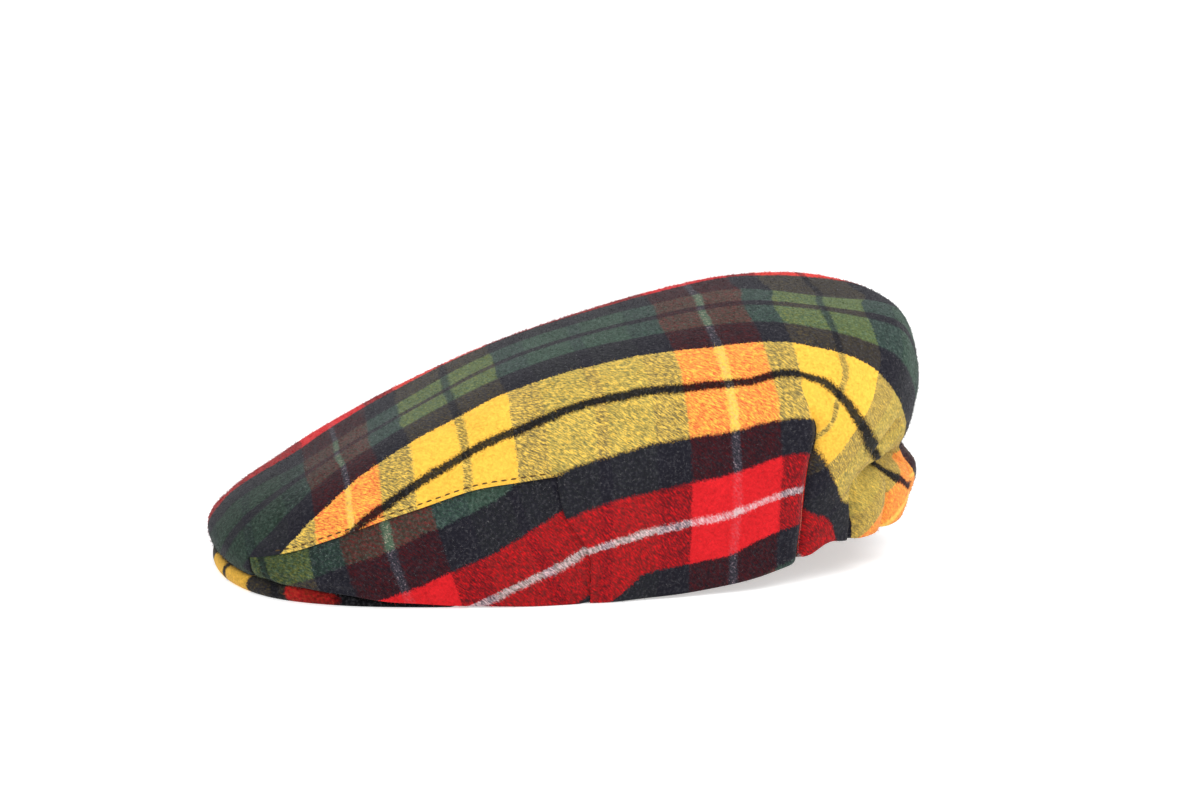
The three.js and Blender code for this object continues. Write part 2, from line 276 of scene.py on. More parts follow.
def dent_out(share, step, side):
    """Soft dents of worn cloth: products of sines, none near the crest or in the middle of front and back."""
    round_cap, down, depth = DENTS.T
    waves = np.sin(2 * np.pi * (share[..., None] / round_cap + DENT_ROUND_SHIFT * side))
    waves = waves * np.sin(2 * np.pi * (step[..., None] / down + DENT_DOWN_SHIFT * side))
    ends = smooth(share, *DENT_FRONT) * (1 - smooth(share, *DENT_BACK))
    return (waves * depth).sum(-1) * ends * smooth(step, *DENT_STEPS)


def fold_out(share, step):
    """Short folds beside the gathers: bells of the distance to a line, in millimetres round and down."""
    scale = np.array([FOLD_ROUND, FOLD_DOWN])
    place = np.stack([share, step], -1) * scale
    total = np.zeros(share.shape)
    for *ends, height, width in FOLDS:
        start, end = np.reshape(ends, (2, 2)) * scale
        way = end - start
        part = np.clip((place - start) @ way / (way @ way), 0, 1)
        distance = np.linalg.norm(place - start - part[..., None] * way, axis=-1)
        total = total + height * bell(distance, width)
    return total


def cloth_points(share, step, side, out):
    """The outer face of the cloth: the form, moved out by its relief, mirrored for side -1, then leaned.

    Behind the dart and in the middle of the back the hem is drawn up a little.
    """
    relief = out + gather_out(share, step, side) + dent_out(share, step, side) + fold_out(share, step)
    points = form(share, step) + relief[..., None] * form_normal(share, step)
    points[..., 0] *= side
    tilt = np.tan(np.radians(along(LEAN, points[..., 1])))
    points[..., 2] -= points[..., 0] * tilt * smooth(BELLY - step, 0, 1)
    points[..., 2] += HEM_LIFT * bell(share - HEM_LIFT_AT, HEM_LIFT_WIDTH) * smooth(step, HEM_LIFT_FROM, HEM)
    points[..., 2] += BACK_LIFT * smooth(share, *BACK_LIFT_SHARES) * smooth(step, BACK_LIFT_FROM, HEM)
    return points


# %% [markdown]
# ## Sewn edges
#
# The crown's front edge is folded under, laid over the side panels and topstitched. The iron has pressed it
# thin, so it rolls down to the panel. Both the roll and the line of stitches follow the distance to the edge,
# which is worked out here for every point of a grid.

# %% Distances to the front edge
# millimetres of a whole share behind the side seam and before the lip's end
ROUND_BEHIND, ROUND_BEFORE = 440, 281
EDGE_ROLL, EDGE_ROLL_WIDTH, EDGE_PUFF, END_ROLL, END_ROLL_FROM = 0.6, 1.0, 0.3, 0.2, 6
STITCH_LINE, STITCH_GROOVE, STITCH_GROOVE_WIDTH, STITCH_FROM, STITCH_FADE = 1.35, 0.35, 0.45, 0.19, 0.02
PRESSED_EDGE, PRESSED_LIP, PRESSED_WIDTH, LIP_REACH = 0.6, 0.45, 5, 25
SEAM_PUCKER, SEAM_PUCKER_LENGTH, SEAM_PUCKER_WIDTH, SEAM_PUCKER_FROM = 0.22, 6.5, 5, (3, 9)


def sums_down(parts):
    """Running sums down the rows of a grid, starting from 0."""
    return np.concatenate([np.zeros_like(parts[:, :1]), np.cumsum(parts, 1)], 1)


def lengths_down(points):
    """Lengths down the rows of a grid of points, from its first row."""
    return sums_down(np.linalg.norm(np.diff(points, axis=1), axis=-1))


def edge_distance(share, step):
    """How far above the edge and how far beyond its two ends each point of a grid lies, in millimetres.

    Above is the length down the section to the edge; beyond turns the share past an end into millimetres.
    """
    lengths = lengths_down(form(share, step))
    edge = along(FRONT_SEAM, share[:, 0])
    at_edge = np.array([np.interp(e, row, sums) for e, row, sums in zip(edge, step, lengths)])
    behind = np.maximum(0, share - SIDE_SEAM) * ROUND_BEHIND
    before = np.maximum(0, LIP_END - share) * ROUND_BEFORE
    return at_edge[:, None] - lengths, behind + before


def near_lip(share):
    """1 at the lip's end, fading out along the front edge."""
    return 1 - smooth((share - LIP_END) * ROUND_BEFORE, 0, LIP_REACH)


def seam_pucker(away, down):
    """Small puckers beside the side seam: a sine down its length that dies out away from it."""
    wave = np.sin(2 * np.pi * down / SEAM_PUCKER_LENGTH)
    return SEAM_PUCKER * wave * bell(away, SEAM_PUCKER_WIDTH) * smooth(down, *SEAM_PUCKER_FROM)


def edge_out(share, above, beyond):
    """The edge rolls down, swells a little inside it and is drawn in along the line of stitches.

    Beside the lip's end and the side seam it rolls less.
    """
    away = np.hypot(np.maximum(0, above), beyond)
    stitched = smooth(share, STITCH_FROM - STITCH_FADE, STITCH_FROM) * (beyond == 0)
    groove = STITCH_GROOVE * bell(away - STITCH_LINE, STITCH_GROOVE_WIDTH)
    puff = EDGE_PUFF * bell(away - STITCH_LINE / 2, STITCH_LINE / 3)
    ends = np.maximum(smooth(-above, 0, END_ROLL_FROM), near_lip(share))
    roll = between(EDGE_ROLL, END_ROLL, ends)
    pucker = seam_pucker(beyond, -above) * (share > SIDE_SEAM)
    return (puff - groove) * stitched - roll * bell(away, EDGE_ROLL_WIDTH) + pucker


print("front edge about %.0f mm long" % lengths_down(form(*FRONT_SEAM.T)[None])[0, -1])

# %% [markdown]
# ## Cloth coordinates
#
# A tartan is woven flat, so the pattern has to be looked up by places on the flat cloth: how far across it,
# over the warp stripes, and how far along it, over the weft stripes. On the top of the cap these are simply
# lengths over the surface, sideways from the crest and along it. The cloth lies a little askew, which the
# drift table gives. Behind the dart the cloth has been turned, so both lengths grow on the way down.

# %% Places on the flat cloth
# y, and how far the warp stripes lie towards the wearer's left there
DRIFT = np.array([
    (-136, 13.5), (-121, 13), (-112, 10.5), (-100, 7), (-88, 2.5), (-75, 0), (-55, -2), (-30, -4), (0, -2.5),
    (30, 0.5), (70, 2), (90, 6), (110, 10), (136, 10),
])
DRIFT_FULL, DRIFT_NONE = 36, 90
DART_PULL, DART_PULL_FROM, DART_PULL_Y, DART_PULL_BEHIND = 0.11, 45, (45, 76), 0.28
LINE_LIFT, LINE_LIFT_AT, LINE_LIFT_WIDTH, LINE_LIFT_Y = 3.2, 68, 12, (55, 76)
FAR_EASE, FAR_EASE_WIDTH = 13, 42
# on the wearer's right: where the drift is full and where it has gone, each at the front and at the rear
FAR_DRIFT, FAR_DRIFT_Y = ((40, 0), (100, 45)), (0, 60)
SEAM_DROP, SEAM_DROP_STEPS, SEAM_DROP_SHARES = 9, (2.9, 3.7), (SIDE_SEAM, SIDE_SEAM + 0.07)
TURN_STEPS = (0.95, 1.3)
# share of the way round, and the part of the turned stretch that goes across the warp there
TURNED_WARP = np.array([
    (0.7225, 0.5), (0.745, 0.42), (0.765, 0.27), (0.785, 0.28),
    (0.815, 0.38), (0.845, 0.42), (0.87, 0.49), (0.92, 0.48), (1, 0),
])
# length down the turned cloth over which more of it starts to go across the warp, and how much more: at the
# dart and behind it, then on the ruffle and further back on it
LOW_LENGTHS = (38, 46)
LOW_WARP_DART, LOW_WARP, LOW_DART_SHARES, LOW_SHARES = 0.25, 0.5, (0.725, 0.755), (0.785, 0.792)
RUFFLE_WARP, RUFFLE_SHARES, RUFFLE_WARP_BACK, RUFFLE_BACK_SHARES = 0.2, (0.8, 0.84), 0.4, (0.88, 0.92)
RUFFLE_MIDDLE = 0.05
TURNED_WEFT, LOW_WEFT, LOW_WEFT_LENGTHS = 0.75, 0.45, (12, 28)
# y, and how much more cloth lies lengthwise over the back half; less of it at the crest and on the sides
WEFT_EASE = np.array([(-30, 0), (50, 2), (75, 4), (95, 5), (112, 8), (136, 8)])
EASE_CREST, EASE_CREST_WARPS, EASE_SIDE, EASE_SIDE_WARPS = 0.5, (0, 15), 0.3, (55, 80)
# y, and how much further along the weft the front lies than its place on the crest says
WEFT_FRONT = np.array([(-136, 18), (-120, 13), (-103, 7.5), (-91, 4), (-80, -1.5), (-66, -1), (-45, 0)])
TOP_SKEW, TOP_SKEW_FROM, TOP_SKEW_MOST = 0.127, 25, 70
WEFT_ZERO_Y, CREST_STEP, CREST_MARGIN = 50, 0.5, 10


def crest_length(y):
    """Length along the crest from y back to WEFT_ZERO_Y, summed over short steps; below 0 behind it."""
    ys = np.arange(CREST[0, 0] - CREST_MARGIN, CREST[-1, 0] + CREST_MARGIN, CREST_STEP)
    parts = np.hypot(1, crest_slope(ys[1:] - CREST_STEP / 2)) * CREST_STEP
    lengths = sums_down(parts[None])[0]
    return np.interp(WEFT_ZERO_Y, ys, lengths) - np.interp(y, ys, lengths)


def turned_rates(share, below):
    """Parts of a turned stretch that go across the warp and along the weft, at a length below the turn."""
    low = between(LOW_WARP_DART, LOW_WARP, smooth(share, *LOW_DART_SHARES)) * (1 - smooth(share, *LOW_SHARES))
    ruffle = RUFFLE_WARP * smooth(share, *RUFFLE_SHARES)
    ruffle = ruffle + RUFFLE_WARP_BACK * smooth(share, *RUFFLE_BACK_SHARES)
    ruffle = ruffle * smooth(1 - share, 0, RUFFLE_MIDDLE)
    warp_rate = along(TURNED_WARP, share) + (low + ruffle) * smooth(below, *LOW_LENGTHS)
    return warp_rate, TURNED_WEFT + LOW_WEFT * smooth(below, *LOW_WEFT_LENGTHS)


def top_weft(y, from_crest):
    """Weft places on the top: the crest's length from y, less the ease of the back, moved at the front."""
    eased = between(EASE_CREST, 1, smooth(from_crest, *EASE_CREST_WARPS))
    eased = eased * between(1, EASE_SIDE, smooth(from_crest, *EASE_SIDE_WARPS))
    return crest_length(y) - along(WEFT_EASE, y) * eased + along(WEFT_FRONT, y)


def askew(warp, weft, y, side):
    """Places on cloth that lies askew: warp stripes drift with y, and weft stripes climb over the top.

    The drift dies out down the sides. On the wearer's right it reaches further down at the front than at the
    rear, and the cloth is eased near the crest.
    """
    if side > 0:
        weight = 1 - smooth(warp, DRIFT_FULL, DRIFT_NONE)
    else:
        rearward = smooth(y, *FAR_DRIFT_Y)
        full, none = (between(front, rear, rearward) for front, rear in FAR_DRIFT)
        weight = 1 - smooth(warp, full, none)
        warp = warp - FAR_EASE * np.minimum(warp / FAR_EASE_WIDTH, 1)
    weft = weft + TOP_SKEW * np.clip(TOP_SKEW_FROM - side * warp, 0, TOP_SKEW_MOST)
    return np.stack([side * warp - along(DRIFT, y) * weight, weft], -1)


def crown_cloth(share, step, side, turned):
    """Warp and weft places of a grid of columns (share) and rows (step); turned marks columns past the dart.

    In front of the dart the warp place sums the sideways part of each stretch of a section, and the weft
    place is that of the top at the same y. Behind the dart, below the shoulder, both sum parts of the stretch
    itself. Beside the dart the cloth is pulled, and beside the side seam it drops.
    """
    points = form(share, step)
    parts = np.diff(points, axis=1)
    length = np.linalg.norm(parts, axis=-1)
    y = points[..., 1]
    middle_y, middle_step = ((values[:, 1:] + values[:, :-1]) / 2 for values in (y, step))
    sideways = np.hypot(parts[..., 0], parts[..., 2] - crest_slope(middle_y) * parts[..., 1])
    behind = turned[:, None] * smooth(middle_step, *TURN_STEPS)
    warp_rate, weft_rate = turned_rates(share[:, 1:], sums_down(length * behind)[:, 1:])
    warp = sums_down(between(sideways, warp_rate * length, behind))
    weft = top_weft(y, sums_down(sideways))
    weft = weft[:, :1] + sums_down(between(np.diff(weft, axis=1), -weft_rate * length, behind))
    above = np.maximum(0, sums_down(sideways * (1 - behind)) - DART_PULL_FROM)
    pull = np.where(turned, DART_PULL_BEHIND, DART_PULL)[:, None]
    warp = warp + pull * smooth(y, *DART_PULL_Y) * above
    lift = LINE_LIFT * bell(warp - LINE_LIFT_AT, LINE_LIFT_WIDTH) * smooth(y, *LINE_LIFT_Y)
    drop = SEAM_DROP * smooth(step, *SEAM_DROP_STEPS) * (1 - smooth(share, *SEAM_DROP_SHARES))
    return askew(warp + lift * (1 - turned[:, None]) - drop, weft, y, side)


print("crest %.0f mm long" % -np.diff(crest_length(CREST[[0, -1], 0]))[0])

# %% [markdown]
# ## From grid to cloth
#
# Blender can thicken a single sheet by itself, so each piece of cloth is one grid of points with a Solidify
# modifier that adds the inner face and the cut edges. The grid's corners carry their places on the flat cloth
# as a UV map, in metres.

# %% Meshes from grids
def grid_faces(columns, rows):
    """Quads of a grid whose corners are numbered column by column, facing out from a cap."""
    corner = np.arange(columns * rows).reshape(columns, rows)
    return np.stack([corner[:-1, :-1], corner[:-1, 1:], corner[1:, 1:], corner[1:, :-1]], -1)


def make_piece(name, points, faces, cloth=None):
    """A smooth mesh at the origin from points in millimetres and the cloth places of each face's corners."""
    points = points.reshape(-1, 3)
    mesh = bpy.data.meshes.new(name)
    mesh.from_pydata((points * MM).tolist(), [], faces.tolist())
    if cloth is not None:
        layer = mesh.uv_layers.new(name="cloth")
        layer.data.foreach_set("uv", (cloth * MM).astype(np.float32).ravel())
    mesh.polygons.foreach_set("use_smooth", np.ones(len(faces), bool))
    piece = bpy.data.objects.new(name, mesh)
    bpy.context.collection.objects.link(piece)
    print(name, len(points), "points", len(faces), "faces")
    return piece


def for_side(side, faces, cloth):
    """Faces and their cloth places, turned round on the mirrored side so that the faces still look out."""
    return (faces, cloth) if side > 0 else (faces[:, ::-1], cloth[:, ::-1])


def give_wall(piece, thickness):
    """Thickens a sheet inwards with a Solidify modifier; a vertex group holds hundredths of CLOTH."""
    group = piece.vertex_groups.new(name="wall")
    parts = np.round(thickness / CLOTH, 2)
    for part in np.unique(parts):
        group.add(np.flatnonzero(parts == part).tolist(), float(part), "REPLACE")
    wall = piece.modifiers.new("wall", "SOLIDIFY")
    wall.thickness = CLOTH * MM
    wall.offset = -1
    wall.vertex_group = "wall"


def mesh_values(items, name, width, kind=float):
    """One value of every item of a mesh, as rows of the given width."""
    values = np.empty(len(items) * width, kind)
    items.foreach_get(name, values)
    return values.reshape(-1, width)


def sheet_area(piece):
    """Area of the outer face in square metres."""
    return mesh_values(piece.data.polygons, "area", 1).sum()


# %% [markdown]
# ## The crown
#
# The crown is one piece of cloth from the front lip over the top and down to the hem behind. Its columns run
# round the cap and its rows from the crest down. Between the lip's end and the side seam it stops at a folded
# front edge, where the side panels take over.

# %% Columns and rows of the crown
# ends of the stretches round the cap, closely set beside the seam and the dart, and the columns on each
STRETCH_ENDS = [0, LIP_END, SIDE_SEAM, SIDE_SEAM + 0.012, 0.7, 0.745, ELASTIC_END, 1]
STRETCH_COLUMNS = [30, 66, 8, 26, 36, 16, 72]
stretches = zip(STRETCH_ENDS, STRETCH_ENDS[1:], STRETCH_COLUMNS)
SHARES = np.concatenate([np.linspace(a, b, n, endpoint=False) for a, b, n in stretches] + [[1.0]])
UPPER_ROWS, LOWER_ROWS, EDGE_CROWDING, MERGE_DIGITS = 54, 38, 1.8, 3


def crown_steps(share):
    """Rows of each column as steps: closer and closer from the crest to the front edge, then even."""
    edge = along(FRONT_SEAM, share)[:, None]
    upper = edge * (1 - (1 - np.linspace(0, 1, UPPER_ROWS + 1)) ** EDGE_CROWDING)
    lower = between(edge, HEM, np.linspace(0, 1, LOWER_ROWS + 1)[1:])
    return np.concatenate([upper, lower], 1)


def crown_half(side):
    """Points, wall thickness, faces and cloth places of one side of the crown."""
    step = crown_steps(SHARES)
    share = np.broadcast_to(SHARES[:, None], step.shape)
    above, beyond = edge_distance(share, step)
    relief = edge_out(share, above, beyond) + dart_out(share, step)
    place = share + dart_swing(share, step)
    points = cloth_points(place, step, side, relief)
    away = np.hypot(np.maximum(0, above), beyond)
    pressed = between(PRESSED_EDGE, PRESSED_LIP, near_lip(share))
    thickness = between(pressed, CLOTH, smooth(away, 0, PRESSED_WIDTH))
    faces = grid_faces(*step.shape)
    front = crown_cloth(place, step, side, SHARES > DART).reshape(-1, 2)
    behind = crown_cloth(place, step, side, SHARES >= DART).reshape(-1, 2)
    is_behind = (SHARES[:-1] >= DART)[:, None, None, None]
    cloth = np.where(is_behind, behind[faces], front[faces])
    middle = (SHARES[1:] + SHARES[:-1]) / 2
    keep = np.ones(faces.shape[:2], bool)
    keep[(middle > LIP_END) & (middle < SIDE_SEAM), UPPER_ROWS:] = False
    return points.reshape(-1, 3), thickness.ravel(), *for_side(side, faces[keep], cloth[keep])


def make_crown():
    """Both halves in one mesh, merged where they meet along the crest, the front and the back."""
    points, thickness, faces, cloth = zip(crown_half(1), crown_half(-1))
    faces = np.concatenate([faces[0], faces[1] + len(points[0])])
    points, thickness, cloth = (np.concatenate(halves) for halves in (points, thickness, cloth))
    used = np.unique(faces)
    places = np.round(points[used], MERGE_DIGITS)
    _, first, number = np.unique(places, axis=0, return_index=True, return_inverse=True)
    renumber = np.zeros(len(points), int)
    renumber[used] = number.reshape(-1)
    kept = used[first]
    piece = make_piece("crown_cloth", points[kept], renumber[faces], cloth)
    give_wall(piece, thickness[kept])
    return piece


crown = make_crown()
print("crown %.3f square metres" % sheet_area(crown))

# %% [markdown]
# ## The side panels
#
# A panel of the same cloth, cut with the tartan turned half round, closes each side in front. Its upper edge
# runs on under the crown's folded edge and lower down it comes out level with the crown.

# %% Side panels
PANEL_LAP, PANEL_LAP_ROWS, PANEL_ROWS, PANEL_COLUMNS = 0.12, 4, 44, 110
PANEL_TUCK, PANEL_TUCK_SLOPE, PANEL_OUT_SHARE, PANEL_SIDE_LAP = 1.4, 0.12, 0.5, 3
# depth at the panel's two ends, and the way over which it comes out
SEAM_TUCK, SEAM_TUCK_WIDTH, LIP_TUCK, LIP_TUCK_WIDTH = 1.0, 5, 0.7, 2.5
PANEL_TILT = 0.5
PANEL_RED_HEIGHT, PANEL_RED_WARP, TURN_WARP = 41.5, 106, 246
PANEL_WEFT_ALONG, PANEL_WEFT_UP, PANEL_WEFT_ZERO = 0.92, 0.3, 60.2


def panel_cloth(share, step):
    """Warp and weft places on a panel, from the height above its hem and the way forward from the side seam.

    The warp stripes climb by PANEL_TILT for each millimetre towards the back, and count the other way.
    """
    points = form(share, step)
    up = lengths_down(points[:, ::-1])[:, ::-1]
    way = lengths_down(points[None, :, -1, :2])[0]
    forward = (np.interp(SIDE_SEAM, share[:, 0], way) - way)[:, None]
    across = (PANEL_RED_HEIGHT - up - PANEL_TILT * forward) / np.hypot(1, PANEL_TILT)
    warp = TURN_WARP - PANEL_RED_WARP - across
    weft = PANEL_WEFT_ZERO + PANEL_WEFT_UP * up - PANEL_WEFT_ALONG * forward
    return np.stack([warp, weft], -1)


def make_panel(name, side):
    """A grid between the lip's end and the side seam, tucked under the crown along its top and both ends.

    It lies PANEL_TUCK deep at the crown's edge, deeper further under it, and comes out to the form beyond.
    """
    ends = LIP_END - PANEL_SIDE_LAP / ROUND_BEFORE, SIDE_SEAM + PANEL_SIDE_LAP / ROUND_BEHIND
    share = np.linspace(*ends, PANEL_COLUMNS)[:, None]
    edge = along(FRONT_SEAM, share)
    rows = np.arange(PANEL_ROWS + 1)
    lap = np.maximum(0, 1 - rows / PANEL_LAP_ROWS) * PANEL_LAP
    below = np.maximum(0, rows - PANEL_LAP_ROWS) / (PANEL_ROWS - PANEL_LAP_ROWS)
    step = edge - lap + (HEM - edge) * below
    share = np.broadcast_to(share, step.shape)
    above, beyond = edge_distance(share, step)
    from_seam, from_lip = (SIDE_SEAM - share) * ROUND_BEHIND, (share - LIP_END) * ROUND_BEFORE
    depth = between(PANEL_TUCK, LIP_TUCK, near_lip(share))
    depth = depth * (1 - smooth(below, 0, PANEL_OUT_SHARE))
    depth = np.maximum(depth, SEAM_TUCK * (1 - smooth(from_seam, 0, SEAM_TUCK_WIDTH)))
    depth = np.maximum(depth, LIP_TUCK * (1 - smooth(from_lip, 0, LIP_TUCK_WIDTH)))
    under = np.maximum(np.maximum(0, above), beyond)
    pucker = seam_pucker(from_seam, -above) * (from_seam > 0)
    points = cloth_points(share, step, side, pucker - depth - PANEL_TUCK_SLOPE * under)
    faces = grid_faces(*step.shape).reshape(-1, 4)
    cloth = panel_cloth(share, step).reshape(-1, 2)[faces]
    piece = make_piece(name, points, *for_side(side, faces, cloth))
    give_wall(piece, np.full(points[..., 0].size, CLOTH))
    return piece


panels = {
    "side_panel_left": make_panel("side_panel_left_cloth", 1),
    "side_panel_right": make_panel("side_panel_right_cloth", -1),
}
print("side panel %.4f square metres" % sheet_area(panels["side_panel_left"]))

# %% [markdown]
# ## The peak
#
# Under the front lies the peak, a stiff board covered in the same cloth. Only its edge shows below the lip.
# It is a closed ring section carried along a crescent: the outer edge follows the lip and the inner edge an
# ellipse round the forehead.

# %% Peak
PEAK_THICKNESS, PEAK_TIP_THICKNESS = 6, 1
PEAK_TIP, PEAK_TAPER_FROM, PEAK_EDGE, PEAK_ROUND = 0.4, 0.2, 0.955, 2.2
FOREHEAD_Y, FOREHEAD_HALF_WIDTH, FOREHEAD_DEPTH, FOREHEAD_ANGLE = -30, 69, 56, 74
PEAK_STATIONS, PEAK_FLAT_POINTS, PEAK_ROUND_POINTS = 121, 14, 12
PEAK_CLOTH_SHIFT, PEAK_CLOTH_WAY, PEAK_CLOTH_SKEW = (64.2, 166), (1, -1), 0.1
PEAK_CLOTH_BEND, PEAK_CLOTH_BEND_Y, PEAK_CLOTH_BEND_MOST = 1.2, -105, 25


def make_peak():
    """A ring of points at each station of the crescent: flat, half round at the outer edge, flat."""
    k = np.linspace(-1, 1, PEAK_STATIONS)[:, None]
    share = abs(k) * PEAK_TIP
    s = section(share)
    outer_x = np.sign(k) * s["out_x"] * PEAK_EDGE
    outer_y = between(s["ridge_y"], s["out_y"], PEAK_EDGE)
    angle = np.radians(FOREHEAD_ANGLE * k)
    inner_x = FOREHEAD_HALF_WIDTH * np.sin(angle)
    inner_y = FOREHEAD_Y - FOREHEAD_DEPTH * np.cos(angle)
    thin = smooth(share, PEAK_TAPER_FROM, PEAK_TIP)
    height = between(PEAK_THICKNESS, PEAK_TIP_THICKNESS, thin)
    rounding = PEAK_ROUND / np.hypot(outer_x - inner_x, outer_y - inner_y)
    turn = np.linspace(0, np.pi, PEAK_ROUND_POINTS)
    flat = np.linspace(0, 1, PEAK_FLAT_POINTS)[:-1]
    across = np.concatenate([
        flat * (1 - rounding),
        1 - rounding + rounding * np.sin(turn),
        flat[::-1] * (1 - rounding),
    ], 1)
    up = np.concatenate([0 * flat, (1 - np.cos(turn)) / 2, 0 * flat + 1])
    x, y = between(inner_x, outer_x, across), between(inner_y, outer_y, across)
    points = np.stack([x, y, height * up], -1)
    ring = points.shape[1]
    number = np.arange(PEAK_STATIONS * ring).reshape(PEAK_STATIONS, ring)
    following = np.roll(number, -1, axis=1)
    walls = np.stack([number[:-1], number[1:], following[1:], following[:-1]], -1).reshape(-1, 4)
    half = ring // 2
    low, high = np.arange(half - 1), np.arange(half - 1) + 1
    cap_quads = np.stack([low, high, ring - 1 - high, ring - 1 - low], -1)
    last = (PEAK_STATIONS - 1) * ring
    faces = np.concatenate([walls, cap_quads, cap_quads[:, ::-1] + last])
    bend = np.clip(y - PEAK_CLOTH_BEND_Y, 0, PEAK_CLOTH_BEND_MOST)
    flat_x = x + PEAK_CLOTH_SKEW * y - PEAK_CLOTH_BEND * bend
    cloth = (np.stack([flat_x, y], -1) + PEAK_CLOTH_SHIFT) * PEAK_CLOTH_WAY
    return make_piece("peak_cloth", points, faces, cloth.reshape(-1, 2)[faces])


peak = make_peak()

# %% [markdown]
# ## The topstitch
#
# A dark thread holds the crown's folded edge down on the panels. A machine leaves a row of short stitches,
# and each of them comes up out of one hole and goes down into the next. So each is a short rod along the
# surface that rises a little in the middle and dips into the cloth at both ends.

# %% Topstitch
STITCH_LENGTH, STITCH_SPACING, THREAD_RADIUS, STITCH_RISE, STITCH_DIP = 2.9, 3.5, 0.28, 0.12, 0.4
STITCH_TAPER, STITCH_RINGS, THREAD_SIDES = 0.5, 7, 6
STITCH_SAMPLES, STITCH_ROWS, STITCH_REACH, STITCH_END = 400, 41, 0.2, 0.003


def stitch_line(side):
    """Points on the crown's outer face along the stitches, with the directions out of it.

    On each column it is the step at which the distance above the edge is STITCH_LINE.
    """
    share = np.linspace(STITCH_FROM, SIDE_SEAM - STITCH_END, STITCH_SAMPLES)[:, None]
    step = along(FRONT_SEAM, share) - STITCH_REACH * np.linspace(1, 0, STITCH_ROWS)
    above, _ = edge_distance(np.broadcast_to(share, step.shape), step)
    found = [np.interp(STITCH_LINE, a[::-1], row[::-1]) for a, row in zip(above, step)]
    step = np.array(found)[:, None]
    relief = edge_out(share, np.full_like(step, STITCH_LINE), np.zeros_like(step))
    out = form_normal(share, step)
    out[..., 0] *= side
    return cloth_points(share, step, side, relief)[:, 0], out[:, 0]


def make_stitches(name, side):
    """Rods of rings, evenly spaced along the line; the rise falls as the square of the way to an end."""
    line, out = stitch_line(side)
    way = lengths_down(line[None])[0]
    along_rod = np.linspace(-1, 1, STITCH_RINGS)
    places = np.arange(STITCH_SPACING, way[-1] - STITCH_LENGTH, STITCH_SPACING)[:, None]
    places = places + along_rod * STITCH_LENGTH / 2

    def at(values):
        """Values along the line, taken at the places of the rings."""
        return np.stack([np.interp(places, way, column) for column in values.T], -1)

    up, ahead = at(out), at(np.gradient(line, way, axis=0))
    rise = STITCH_RISE - (STITCH_RISE + STITCH_DIP) * along_rod ** 2
    middle = at(line) + rise[:, None] * up
    radius = THREAD_RADIUS * (1 - STITCH_TAPER * along_rod ** 4)[:, None, None]
    turn = np.linspace(0, 2 * np.pi, THREAD_SIDES, endpoint=False)[:, None]
    aside = np.cross(ahead, up)
    ring = np.cos(turn) * up[:, :, None] + np.sin(turn) * aside[:, :, None]
    points = middle[:, :, None] + radius * ring
    number = np.arange(points[..., 0].size).reshape(points.shape[:3])
    following = np.roll(number, -1, axis=2)
    walls = np.stack([number[:, :-1], following[:, :-1], following[:, 1:], number[:, 1:]], -1)
    halves = np.array([(0, 1, 2, 3), (0, 3, 4, 5)])
    starts, ends = number[:, 0][:, halves[:, ::-1]], number[:, -1][:, halves]
    faces = np.concatenate([part.reshape(-1, 4) for part in (walls, starts, ends)])
    return make_piece(name, points, faces)


stitches = [make_stitches("topstitch_left", 1), make_stitches("topstitch_right", -1)]

# %% [markdown]
# ## Raised fibres
#
# Brushed wool has loose fibres standing off its face, and they make the cap's outline look soft. Blender's
# hair would draw them, but it isn't part of a mesh. Here each fibre is a slim pyramid of four triangles,
# rooted in the cloth, and it takes its colour from the place on the cloth under its root.

# %% Fibres
CROWN_FIBRES, PANEL_FIBRES = 46000, 6000
FIBRE_RADIUS, FIBRE_LENGTH, FIBRE_RISE, FIBRE_ROOT = 0.08, (0.8, 2.2), (0.2, 0.8), 0.25


def make_fibres(name, piece, count, seed):
    """Pyramids at random places of a sheet, more on larger quads, pointing out and to a random side."""
    random = np.random.default_rng(seed)
    mesh = piece.data
    areas = mesh_values(mesh.polygons, "area", 1)[:, 0]
    corners = mesh_values(mesh.loops, "vertex_index", 1, np.int32).reshape(-1, 4)
    chosen = random.choice(len(areas), count, p=areas / areas.sum())
    a, b = random.random((2, count, 1))
    weights = np.stack([(1 - a) * (1 - b), (1 - a) * b, a * b, a * (1 - b)], 1)
    root = (mesh_values(mesh.vertices, "co", 3)[corners[chosen]] * weights).sum(1) / MM
    places = mesh_values(mesh.uv_layers["cloth"].data, "uv", 2).reshape(-1, 4, 2)
    place = (places[chosen] * weights).sum(1) / MM
    out = mesh_values(mesh.polygons, "normal", 3)[chosen]
    lean = random.normal(size=(count, 3))
    lean = unit(lean - (lean * out).sum(1, keepdims=True) * out)
    rise = random.uniform(*FIBRE_RISE, (count, 1))
    way = rise * out + np.sqrt(1 - rise ** 2) * lean
    first = unit(np.cross(way, out))
    turn = np.radians([0, 120, 240])[:, None]
    ring = np.cos(turn) * first[:, None] + np.sin(turn) * np.cross(way, first)[:, None]
    foot = root[:, None] - FIBRE_ROOT * out[:, None] + FIBRE_RADIUS * ring
    tip = root + random.uniform(*FIBRE_LENGTH, (count, 1)) * way
    tip[:, 2] = np.maximum(tip[:, 2], 0)
    points = np.concatenate([foot, tip[:, None]], 1)
    sides = np.array([(0, 1, 3), (1, 2, 3), (2, 0, 3), (2, 1, 0)])
    faces = (4 * np.arange(count)[:, None, None] + sides).reshape(-1, 3)
    cloth = np.broadcast_to(place[:, None, None], (count, 4, 3, 2))
    return make_piece(name, points, faces, cloth)


crown_fibres = make_fibres("crown_fibres", crown, CROWN_FIBRES, seed=1)
panel_fibres = {
    node: make_fibres(node + "_fibres", panel, PANEL_FIBRES, seed=2) for node, panel in panels.items()
}

